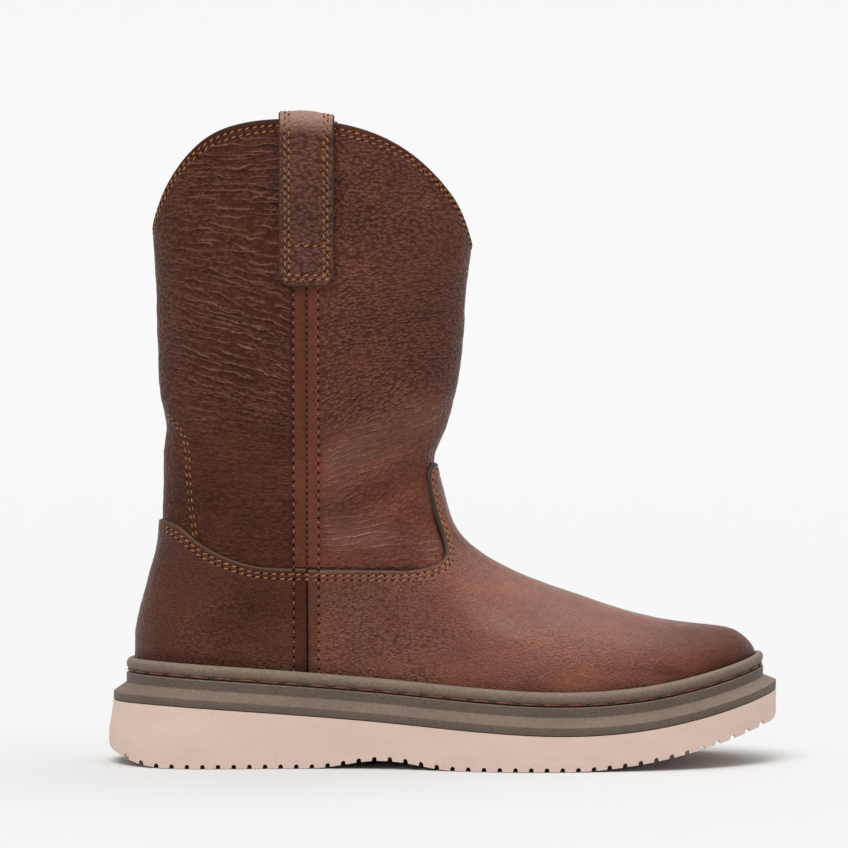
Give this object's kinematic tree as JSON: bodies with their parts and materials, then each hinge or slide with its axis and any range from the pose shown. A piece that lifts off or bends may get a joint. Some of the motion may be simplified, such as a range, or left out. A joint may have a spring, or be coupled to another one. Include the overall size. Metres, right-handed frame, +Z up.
{
  "type": "western work boot",
  "caption": "Right pull-on leather work boot: scalloped tall leg with pull straps, plain round toe, heel counter, welt and pale wedge sole with a ribbed tread.",
  "frame": {"origin": "on the floor, under the middle of the sole's length and width", "axes": "+X from heel to toe, +Y to the medial side of a right foot, +Z up the leg"},
  "size_m": [0.3098, 0.1194, 0.2993],
  "materials": {
    "outsole_rubber": "matt pale rubber",
    "sidewall_rubber": "matt brown rubber",
    "footbed": "plain matt",
    "leg_leather": "tumbled full grain, satin",
    "foot_leather": "full grain, burnished satin",
    "strap_leather": "full grain, satin"
  },
  "bodies": {
    "root": {"outsole": "outsole_rubber", "midsole": "sidewall_rubber", "welt": "sidewall_rubber", "insole": "footbed", "upper": "leg_leather", "vamp": "foot_leather", "counter": "foot_leather", "pull_strap_lateral": "strap_leather", "pull_strap_medial": "strap_leather"}
  },
  "joints": []
}
